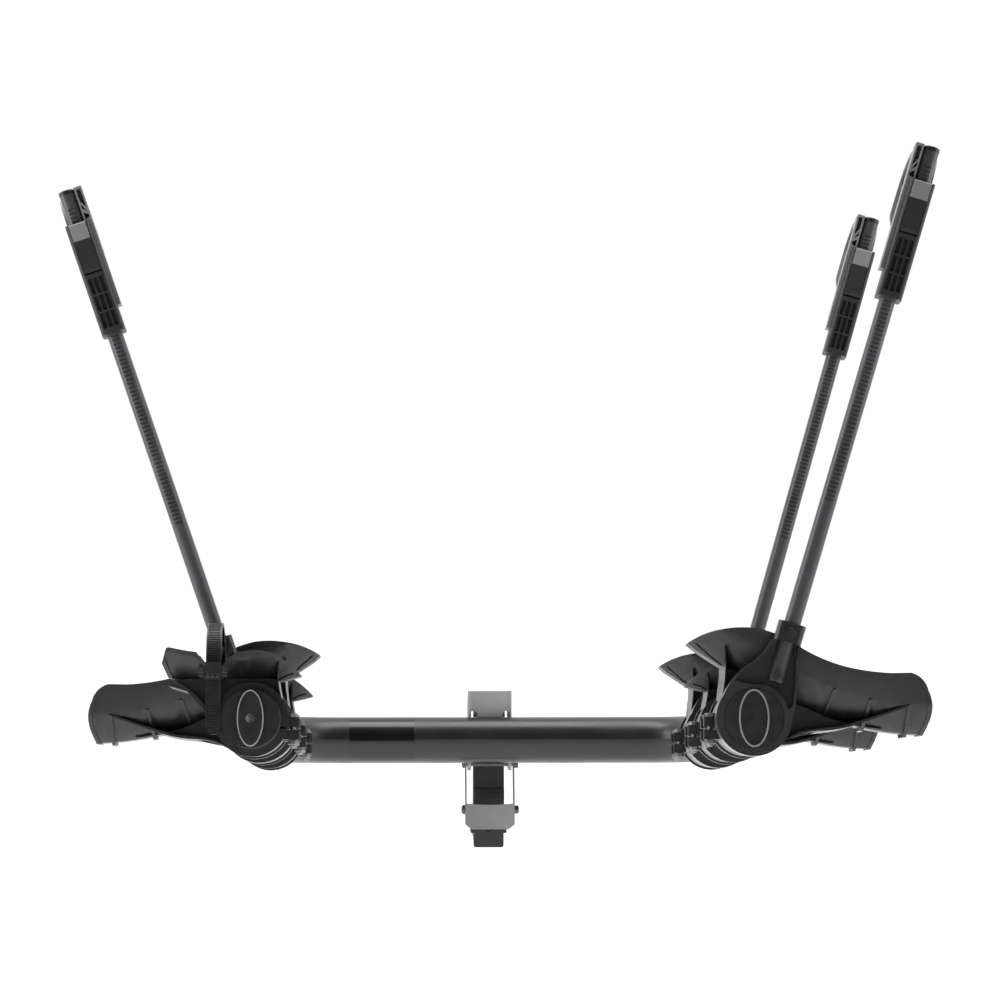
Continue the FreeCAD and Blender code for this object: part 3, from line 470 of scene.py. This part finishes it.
def flat_strap(sizes):
    """Strap laid out flat along X: ladder teeth between two plain rails."""
    half = sizes.strap_width / 2
    sheet = sizes.strap_sheet
    count = int(strap_length(sizes) / sizes.tooth_pitch)
    pitch = strap_length(sizes) / count
    bpy.ops.object.select_all(action="DESELECT")
    bpy.ops.mesh.primitive_plane_add(size=1, location=(pitch / 2, 0, 0))
    tooth = bpy.context.active_object
    tooth.scale = (pitch, 2 * half, 1)
    settle(tooth)
    bpy.ops.object.mode_set(mode="EDIT")
    mesh = bmesh.from_edit_mesh(tooth.data)
    for place, normal in ((0.30 * pitch, (1, 0, 0)), (0.42 * pitch, (1, 0, 0)),
                          (0.74 * pitch, (1, 0, 0)), (0.86 * pitch, (1, 0, 0))):
        bmesh.ops.bisect_plane(mesh, geom=mesh.verts[:] + mesh.edges[:] + mesh.faces[:],
                               plane_co=(place, 0, 0), plane_no=normal)
    for place in (-half + 0.0022, -half + 0.0028, half - 0.0028, half - 0.0022):
        bmesh.ops.bisect_plane(mesh, geom=mesh.verts[:] + mesh.edges[:] + mesh.faces[:],
                               plane_co=(0, place, 0), plane_no=(0, 1, 0))
    for vertex in mesh.verts:
        inside = abs(vertex.co.y) < half - 0.0024
        low = vertex.co.x < 0.31 * pitch or vertex.co.x > 0.85 * pitch
        vertex.co.z = sheet / 2 - (0.0009 if inside and low else 0.0)
    bmesh.update_edit_mesh(tooth.data)
    bpy.ops.object.mode_set(mode="OBJECT")
    row = tooth.modifiers.new("teeth", "ARRAY")
    row.count = count
    row.relative_offset_displace = (1, 0, 0)
    row.use_merge_vertices = True
    row.merge_threshold = 1e-5
    apply_modifiers(tooth)
    bpy.ops.object.mode_set(mode="EDIT")
    bpy.ops.mesh.select_all(action="DESELECT")
    bpy.ops.mesh.select_mode(type="EDGE")
    bpy.ops.mesh.select_non_manifold(extend=False)
    bpy.ops.mesh.extrude_edges_move(TRANSFORM_OT_translate={"value": (0, 0, -sheet)})
    bpy.ops.object.mode_set(mode="OBJECT")
    mesh = bmesh.new()
    mesh.from_mesh(tooth.data)
    low = [vertex for vertex in mesh.verts if vertex.co.z < 0]
    for vertex in low:
        vertex.co.z = -sheet / 2
    edges = [edge for edge in mesh.edges
             if all(vertex.co.z < 0 for vertex in edge.verts) and edge.is_boundary]
    bmesh.ops.holes_fill(mesh, edges=edges)
    mesh.to_mesh(tooth.data)
    mesh.free()
    return tooth


def lay_strap(piece, sizes):
    """Bend the flat strap round its route and round off its tail."""
    half = sizes.strap_width / 2
    for vertex in piece.data.vertices:
        along, across, height = vertex.co
        short = max(0.0, half - along)
        if short > 0:
            across *= math.sqrt(max(0.0, 1 - (short / half) ** 2)) * 0.98 + 0.02
        spot, away = strap_route(sizes, along)
        vertex.co = spot + away * height + Vector((sizes.strap_place + across, 0, 0))
    face_outwards(piece)


class RACK_OT_straps(bpy.types.Operator):
    """Model the three toothed wheel straps in place of their plain solids"""
    bl_idname = "rack.straps"
    bl_label = "Wheel straps"

    def execute(self, context):
        sizes = context.scene.rack_sizes
        pattern = flat_strap(sizes)
        lay_strap(pattern, sizes)
        for bike in BIKES:
            node = "wheel_strap_" + bike
            piece = pattern.copy()
            piece.data = pattern.data.copy()
            context.collection.objects.link(piece)
            place_in(piece, leg_frame(bike, -arm_side(bike)))
            smooth(piece, 28.0)
            add_piece(piece, "toothed_strap_" + bike, paints["strap"], body_of(node))
            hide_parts(node)
        bpy.data.objects.remove(pattern)
        return {"FINISHED"}


# ---------------------------------------------------------------- rounded mouldings
ROUNDED = {
    "arm_tray": 0.0007, "strap_tray": 0.0007, "arm_bracket": 0.0012, "hook_grip": 0.0008,
    "hook_frame": 0.0007, "release_lever": 0.0007, "buckle_base": 0.0004,
    "buckle_lever": 0.0006,
}


class RACK_OT_mouldings(bpy.types.Operator):
    """Round the edges of the moulded and cast pieces"""
    bl_idname = "rack.mouldings"
    bl_label = "Rounded mouldings"

    def execute(self, context):
        for kind, width in ROUNDED.items():
            for bike in BIKES:
                softened(kind + "_" + bike, width)
        for node, width in (("frame_saddle", 0.0007), ("foot_pedal", 0.0005),
                            ("pivot_head", 0.0008), ("end_cap", 0.0005),
                            ("stinger_plug", 0.0006), ("clamp_bolts", 0.0004)):
            softened(node, width)
        return {"FINISHED"}


class RACK_OT_finishes(bpy.types.Operator):
    """Put every CAD piece's own finish on it"""
    bl_idname = "rack.finishes"
    bl_label = "Finishes"

    def execute(self, context):
        mix_paints(context.scene.rack_sizes)
        for node, piece in frame["nodes"].items():
            put_on(piece, paint_for(node))
        return {"FINISHED"}


# ---------------------------------------------------------------- trim
class RACK_OT_tube_band(bpy.types.Operator):
    """Wrap the glossy band round the cross tube"""
    bl_idname = "rack.tube_band"
    bl_label = "Cross tube band"

    def execute(self, context):
        sizes = context.scene.rack_sizes
        centre = Vector((sizes.band_middle, sizes.cross_y, sizes.cross_z))
        bpy.ops.object.select_all(action="DESELECT")
        bpy.ops.mesh.primitive_cylinder_add(
            vertices=128, radius=sizes.tube_radius + 0.00025, depth=sizes.band_length,
            end_fill_type="NOTHING", location=centre, rotation=(0, math.pi / 2, 0))
        band = context.active_object
        settle(band)
        wall = band.modifiers.new("wall", "SOLIDIFY")
        wall.thickness = 0.0002
        wall.offset = -1
        apply_modifiers(band)
        smooth(band)
        add_piece(band, "cross_tube_band", paints["band"], "rack_frame")
        return {"FINISHED"}


def oval_rim(width, height, wire):
    """Raised oval bead in the plane across Y, centred on the origin."""
    bpy.ops.object.select_all(action="DESELECT")
    bpy.ops.mesh.primitive_torus_add(major_radius=1.0, minor_radius=wire, major_segments=96,
                                     minor_segments=10, rotation=(math.pi / 2, 0, 0))
    rim = bpy.context.active_object
    settle(rim)
    for vertex in rim.data.vertices:
        around = Vector((vertex.co.x, 0, vertex.co.z))
        away = around.length - 1.0
        around.normalize()
        centre = Vector((around.x * width / 2, 0, around.z * height / 2))
        outwards = Vector((around.x / width, 0, around.z / height)).normalized()
        vertex.co = centre + outwards * away + Vector((0, vertex.co.y, 0))
    smooth(rim, 60.0)
    return rim


class RACK_OT_cap_rims(bpy.types.Operator):
    """Lay the satin oval beads on the end cap and on the lock knob"""
    bl_idname = "rack.cap_rims"
    bl_label = "Cap rims"

    def execute(self, context):
        wire = context.scene.rack_sizes.rim_wire
        for node, side, width, height, proud in (("end_cap", 1, 0.041, 0.080, 0.0014),
                                                 ("lock_knob", -1, 0.0352, 0.0772, 0.0148)):
            rim = oval_rim(width, height, wire)
            place_in(rim, leg_frame("outer", side) @ Matrix.Translation((0, -proud, 0)))
            add_piece(rim, node + "_rim", paints["rim"], body_of(node))
        return {"FINISHED"}


class RACK_OT_buckle_ribs(bpy.types.Operator):
    """Raise the grip bars and finger ribs on the buckles' levers"""
    bl_idname = "rack.buckle_ribs"
    bl_label = "Buckle ribs"

    def execute(self, context):
        sizes = context.scene.rack_sizes
        middle, face, low = sizes.strap_place, sizes.buckle_face, sizes.buckle_low
        for bike in BIKES:
            ribs = []
            for step in (-1, 0, 1):
                across = middle + step * 0.0072
                ribs.append(rounded_box((across - 0.0028, face - 0.0007, low + 0.0025),
                                        (across + 0.0028, face + 0.0006, low + 0.0052), 0.0003))
                ribs.append(rounded_box((across - 0.0011, face - 0.0007, low + 0.0058),
                                        (across + 0.0011, face + 0.0006, low + 0.0092), 0.0003))
                height = low + 0.0105 + step * 0.0048
                for ear in (-1, 1):
                    across = middle + ear * (sizes.strap_width / 2 + 0.0063)
                    ribs.append(rounded_box((across - 0.0029, face - 0.0006, height - 0.0009),
                                            (across + 0.0029, face + 0.0012, height + 0.0009),
                                            0.0004))
            piece = join_as(ribs, "buckle_ribs_" + bike)
            place_in(piece, leg_frame(bike, -arm_side(bike)))
            smooth(piece)
            node = "buckle_lever_" + bike
            # The ribs' lighter nylon is a painted highlight on the buckle's own black.
            add_piece(piece, "buckle_ribs_" + bike, paints["ribs"], body_of(node))
        return {"FINISHED"}


# ---------------------------------------------------------------- stage
def soft_lamp(name, place, aim, size, power):
    """Area lamp at place that faces aim."""
    data = bpy.data.lights.new(name, "AREA")
    data.shape = "RECTANGLE"
    data.size, data.size_y = size
    data.energy = power
    lamp = bpy.data.objects.new(name, data)
    bpy.context.collection.objects.link(lamp)
    lamp.location = place
    lamp.rotation_euler = (Vector(aim) - Vector(place)).to_track_quat("-Z", "Y").to_euler()
    return lamp


def studio_world():
    """Plain white backdrop, with the room that lights the rack dark on the near side."""
    world = bpy.data.worlds.new("studio")
    world.use_nodes = True
    tree = world.node_tree
    room = tree.nodes["Background"]
    direction = tree.nodes.new("ShaderNodeTexCoord")
    split = tree.nodes.new("ShaderNodeSeparateXYZ")
    tree.links.new(direction.outputs["Generated"], split.inputs[0])
    away = tree.nodes.new("ShaderNodeMapRange")
    away.inputs["From Min"].default_value = -0.75
    away.inputs["From Max"].default_value = 0.35
    away.inputs["To Min"].default_value = 0.1
    away.inputs["To Max"].default_value = 1.15
    tree.links.new(split.outputs["Y"], away.inputs["Value"])
    tree.links.new(away.outputs["Result"], room.inputs["Strength"])
    backdrop = tree.nodes.new("ShaderNodeBackground")
    backdrop.inputs["Strength"].default_value = 1.0
    rays = tree.nodes.new("ShaderNodeLightPath")
    mix = tree.nodes.new("ShaderNodeMixShader")
    tree.links.new(rays.outputs["Is Camera Ray"], mix.inputs["Fac"])
    room.inputs["Color"].default_value = (1, 1, 1, 1)
    backdrop.inputs["Color"].default_value = (1, 1, 1, 1)
    tree.links.new(room.outputs[0], mix.inputs[1])
    tree.links.new(backdrop.outputs[0], mix.inputs[2])
    tree.links.new(mix.outputs[0], tree.nodes["World Output"].inputs["Surface"])
    return world


class RACK_OT_stage(bpy.types.Operator):
    """Set the pale floor, the soft lamps and the camera"""
    bl_idname = "rack.stage"
    bl_label = "Stage"

    def execute(self, context):
        sizes = context.scene.rack_sizes
        bpy.ops.object.select_all(action="DESELECT")
        bpy.ops.mesh.primitive_plane_add(size=sizes.floor_size,
                                         location=(0, 0, sizes.floor_height))
        floor = context.active_object
        floor.name = "studio_floor"
        settle(floor)
        put_on(floor, stage_floor_paint("floor_white", tuple(sizes.floor_white)))
        context.scene.world = studio_world()
        context.scene.view_settings.view_transform = "Standard"
        soft_lamp("overhead_softbox", (0, -0.3, 3.0), (0, -0.5, 0), (3.2, 1.6), 80)
        soft_lamp("left_strip", (-3.0, -1.2, 1.4), (0, -0.6, 0.3), (0.7, 2.6), 48)
        soft_lamp("right_strip", (3.0, -1.2, 1.4), (0, -0.6, 0.3), (0.5, 2.4), 20)
        data = bpy.data.cameras.new("studio_camera")
        data.sensor_width = 36.0
        data.lens = 130.8
        data.clip_start = 0.1
        data.clip_end = 100.0
        camera = bpy.data.objects.new("studio_camera", data)
        context.collection.objects.link(camera)
        camera.location = sizes.camera_place
        camera.rotation_euler = (math.pi / 2 + sizes.camera_rise, 0, -sizes.camera_turn)
        context.scene.camera = camera
        return {"FINISHED"}


# ---------------------------------------------------------------- sizes and panel
def length(name, text, value):
    return bpy.props.FloatProperty(name=name, description=text, default=value,
                                   unit="LENGTH", subtype="DISTANCE", precision=5)


def colour(name, text, value):
    return bpy.props.FloatVectorProperty(name=name, description=text, default=value,
                                         subtype="COLOR", size=3, min=0.0, max=1.0)


class RackSizes(bpy.types.PropertyGroup):
    """Sizes and colours a user would change"""
    frame_black: colour("Frame black", "Powder coat on the frame", (0.011, 0.011, 0.012))
    tray_black: colour("Tray black", "Moulded trays and straps", (0.013, 0.013, 0.014))
    saddle_grey: colour("Saddle grey", "Saddle and pedal paint", (0.30, 0.30, 0.305))
    hook_grey: colour("Hook grey", "Moulded hooks", (0.17, 0.17, 0.175))
    floor_white: colour("Floor", "Studio floor", (0.93, 0.93, 0.93))
    tube_radius: length("Tube radius", "Outer radius of the frame tube", 0.0381)
    cross_y: length("Cross tube Y", "Cross tube axis, fore and aft", -0.265)
    cross_z: length("Cross tube Z", "Cross tube axis height", 0.153)
    band_middle: length("Band middle", "Middle of the glossy band along the tube", -0.179)
    band_length: length("Band length", "Length of the glossy band", 0.106)
    strap_place: length("Strap place", "Strap's middle, outwards from the leg", 0.0545)
    strap_width: length("Strap width", "Width of the strap", 0.0216)
    strap_sheet: length("Strap sheet", "Thickness of the strap", 0.003)
    strap_near: length("Strap near side", "Near face of the strap along the leg", 0.0245)
    strap_far: length("Strap far side", "Far face of the strap along the leg", 0.1575)
    strap_top: length("Strap top", "Top of the strap above the leg's axis", 0.1415)
    strap_tail: length("Strap tail", "Lower end of the strap's tail", -0.022)
    strap_foot: length("Strap foot", "Lower end of the strap at its anchor", 0.052)
    tooth_pitch: length("Tooth pitch", "Spacing of the strap's teeth", 0.0037)
    buckle_face: length("Buckle face", "Front of the buckle's lever along the leg", 0.012)
    buckle_low: length("Buckle foot", "Lower end of the buckle's lever", 0.056)
    arm_offset: length("Arm offset", "Arm's axis, outwards from the leg's", 0.0155)
    bracket_front: length("Bracket front", "Front of the arm bracket along the leg", 0.0005)
    bracket_back: length("Bracket back", "Back of the arm bracket along the leg", 0.0283)
    collar_half: length("Collar half width", "Half the width of the bracket's collar", 0.020)
    collar_foot: length("Collar foot", "Where the collar's round corners start", 0.117)
    collar_round: length("Collar rounding", "Radius of the collar's corners", 0.009)
    rim_wire: length("Rim wire", "Half thickness of the caps' oval beads", 0.0013)
    floor_size: length("Floor size", "Side of the square floor", 60.0)
    floor_height: length("Floor height", "Height of the floor", -0.42)
    camera_place: bpy.props.FloatVectorProperty(
        name="Camera place", description="Where the camera stands",
        default=(-0.1275, -6.2917, 0.4648), subtype="TRANSLATION", unit="LENGTH", size=3)
    camera_turn: bpy.props.FloatProperty(
        name="Camera turn", description="Camera's turn to the right",
        default=math.radians(1.371), subtype="ANGLE", unit="ROTATION")
    camera_rise: bpy.props.FloatProperty(
        name="Camera rise", description="Camera's tilt upwards",
        default=math.radians(0.82), subtype="ANGLE", unit="ROTATION")


class RACK_PT_panel(bpy.types.Panel):
    """Sidebar panel with every step of the rack's looks"""
    bl_idname = "RACK_PT_panel"
    bl_label = "Hitch Rack"
    bl_space_type = "VIEW_3D"
    bl_region_type = "UI"
    bl_category = "Hitch Rack"

    def draw(self, context):
        for step in STEPS:
            self.layout.operator(step.bl_idname)
        for name in RackSizes.__annotations__:
            self.layout.prop(context.scene.rack_sizes, name)


STEPS = (RACK_OT_finishes, RACK_OT_mouldings, RACK_OT_straps, RACK_OT_tube_band,
         RACK_OT_cap_rims, RACK_OT_buckle_ribs, RACK_OT_stage)
CLASSES = (RackSizes, *STEPS, RACK_PT_panel)


def register():
    for item in CLASSES:
        bpy.utils.register_class(item)
    bpy.types.Scene.rack_sizes = bpy.props.PointerProperty(type=RackSizes)


def unregister():
    del bpy.types.Scene.rack_sizes
    for item in reversed(CLASSES):
        bpy.utils.unregister_class(item)


def main():
    register()
    for step in STEPS:
        group, name = step.bl_idname.split(".")
        getattr(getattr(bpy.ops, group), name)()


if __name__ == "__main__":
    main()
